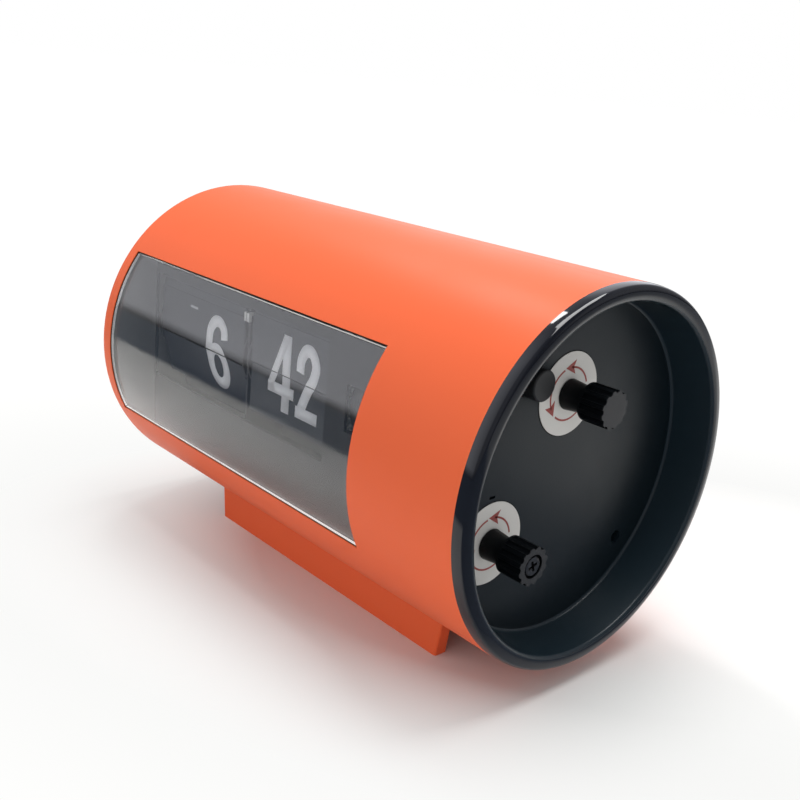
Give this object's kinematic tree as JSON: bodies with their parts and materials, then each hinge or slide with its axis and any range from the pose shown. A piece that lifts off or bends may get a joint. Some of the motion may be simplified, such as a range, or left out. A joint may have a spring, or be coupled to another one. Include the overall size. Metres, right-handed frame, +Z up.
{
  "type": "split-flap alarm clock",
  "caption": "Cylindrical split-flap alarm clock lying on two foot rails, with a curved window, setting knobs in an end recess and a battery bay behind.",
  "frame": {"origin": "middle of the bounding box at its base, on the surface that the foot rails stand on", "axes": "+Z up; +X along the case from its closed end to the end with the knobs; the window faces -Y"},
  "size_m": [0.17, 0.1, 0.106],
  "materials": {
    "case_orange": "satin moulded orange",
    "clear_window": "clear polished",
    "rim_black": "glossy black",
    "panel_black": "satin dark",
    "label_white": "white film with a printed ring of arrows",
    "screw_dark": "blackened steel",
    "dial_black": "moulded black with pale numbers",
    "knob_dark": "satin dark grey",
    "button_dark": "satin dark grey",
    "steel": "turned steel",
    "brass_wheel": "cut brass",
    "white_plastic": "moulded white",
    "leaf_black": "thin black leaf, pale numerals",
    "mask_black": "matt black",
    "plate_metal": "zinc-plated sheet",
    "holder_black": "moulded black",
    "cell_jacket": "plain metal jacket",
    "board_green": "coated board",
    "part_black": "moulded",
    "contact_spring": "nickel-plated spring steel"
  },
  "bodies": {
    "case": {"housing": "case_orange", "front_foot_rail": "case_orange", "rear_foot_rail": "case_orange", "window_lens": "clear_window", "end_bezel": "rim_black", "control_panel": "panel_black", "panel_screws": "steel", "alarm_label": "label_white", "time_label": "label_white", "alarm_switch": "part_black", "left_plate": "plate_metal", "right_plate": "plate_metal", "middle_plate": "plate_metal", "tie_rods": "steel", "rod_nuts": "brass_wheel", "panel_posts": "part_black", "motor": "plate_metal", "idler_stud": "steel", "transfer_stud": "steel", "hour_leaf_pack": "leaf_black", "minute_leaf_pack": "leaf_black", "hour_leaf_catch": "white_plastic", "minute_leaf_catch": "white_plastic", "display_mask": "mask_black", "battery_holder": "holder_black", "battery": "cell_jacket", "positive_contact": "contact_spring", "negative_contact": "contact_spring", "circuit_board": "board_green", "board_components": "part_black", "buzzer": "part_black", "button_spring": "contact_spring"},
    "minute_drum": {"minute_spool": "part_black", "minute_gear": "white_plastic", "clutch_washer": "contact_spring"},
    "hour_drum": {"hour_spool": "part_black", "arbor": "steel", "hour_gear": "white_plastic"},
    "time_setting": {"time_shaft": "steel", "time_knob": "knob_dark", "time_knob_screw": "screw_dark", "time_pinion": "brass_wheel"},
    "idler": {"time_idler": "white_plastic"},
    "transfer": {"transfer_wheel": "white_plastic"},
    "alarm_drum": {"alarm_dial": "dial_black"},
    "alarm_setting": {"alarm_shaft": "steel", "alarm_knob": "knob_dark", "alarm_gear": "white_plastic"},
    "clutch_wheel": {"drive_wheel": "white_plastic"},
    "motor_rotor": {"motor_pinion": "steel"},
    "alarm_plunger": {"alarm_button": "button_dark"},
    "hour_leaf": {"hour_flip_leaf": "leaf_black"},
    "minute_leaf": {"minute_flip_leaf": "leaf_black"},
    "rear_door": {"battery_door": "case_orange"}
  },
  "joints": [
    {"name": "minute_drum_turn", "type": "hinge", "parent": "case", "child": "minute_drum", "pos_m": [0, -0.019, 0.0615], "axis": [1, 0, 0], "continuous": true},
    {"name": "time_knob_turn", "type": "hinge", "parent": "case", "child": "time_setting", "pos_m": [0, -0.0264, 0.0415], "axis": [1, 0, 0], "continuous": true},
    {"name": "time_idler_turn", "type": "hinge", "parent": "case", "child": "idler", "pos_m": [0, -0.02092, 0.04662], "axis": [1, 0, 0], "continuous": true},
    {"name": "transfer_wheel_turn", "type": "hinge", "parent": "case", "child": "transfer", "pos_m": [0, -0.0064, 0.0615], "axis": [1, 0, 0], "continuous": true},
    {"name": "hour_drum_turn", "type": "hinge", "parent": "case", "child": "hour_drum", "pos_m": [0, -0.019, 0.0615], "axis": [1, 0, 0], "continuous": true},
    {"name": "alarm_dial_turn", "type": "hinge", "parent": "case", "child": "alarm_drum", "pos_m": [0, -0.019, 0.0615], "axis": [1, 0, 0], "continuous": true},
    {"name": "alarm_knob_turn", "type": "hinge", "parent": "case", "child": "alarm_setting", "pos_m": [0, -0.00415, 0.07635], "axis": [1, 0, 0], "continuous": true},
    {"name": "drive_wheel_turn", "type": "hinge", "parent": "case", "child": "clutch_wheel", "pos_m": [0, -0.019, 0.0615], "axis": [1, 0, 0], "continuous": true},
    {"name": "motor_turn", "type": "hinge", "parent": "case", "child": "motor_rotor", "pos_m": [0, -0.01225, 0.04981], "axis": [1, 0, 0], "continuous": true},
    {"name": "alarm_button_press", "type": "slide", "parent": "case", "child": "alarm_plunger", "axis": [1, 0, 0], "range_m": [-0.002, 0], "stiffness_N_per_m": 200, "springref_m": 0.001},
    {"name": "hour_leaf_fall", "type": "hinge", "parent": "case", "child": "hour_leaf", "pos_m": [0, -0.0302, 0.05901], "axis": [1, 0, 0], "range_deg": [0, 190]},
    {"name": "minute_leaf_fall", "type": "hinge", "parent": "case", "child": "minute_leaf", "pos_m": [0, -0.0302, 0.0615], "axis": [1, 0, 0], "range_deg": [0, 179]},
    {"name": "battery_door_pull", "type": "slide", "parent": "case", "child": "rear_door", "axis": [0, 0.8949, -0.4462], "range_m": [0, 0.03]}
  ],
  "couplings": [
    {"joint": "time_knob_turn", "follows": "minute_drum_turn", "ratio": 4},
    {"joint": "time_idler_turn", "follows": "minute_drum_turn", "ratio": -2},
    {"joint": "transfer_wheel_turn", "follows": "minute_drum_turn", "ratio": -0.25},
    {"joint": "hour_drum_turn", "follows": "minute_drum_turn", "ratio": 0.041667},
    {"joint": "alarm_knob_turn", "follows": "alarm_dial_turn", "ratio": -1},
    {"joint": "motor_turn", "follows": "drive_wheel_turn", "ratio": -4}
  ]
}
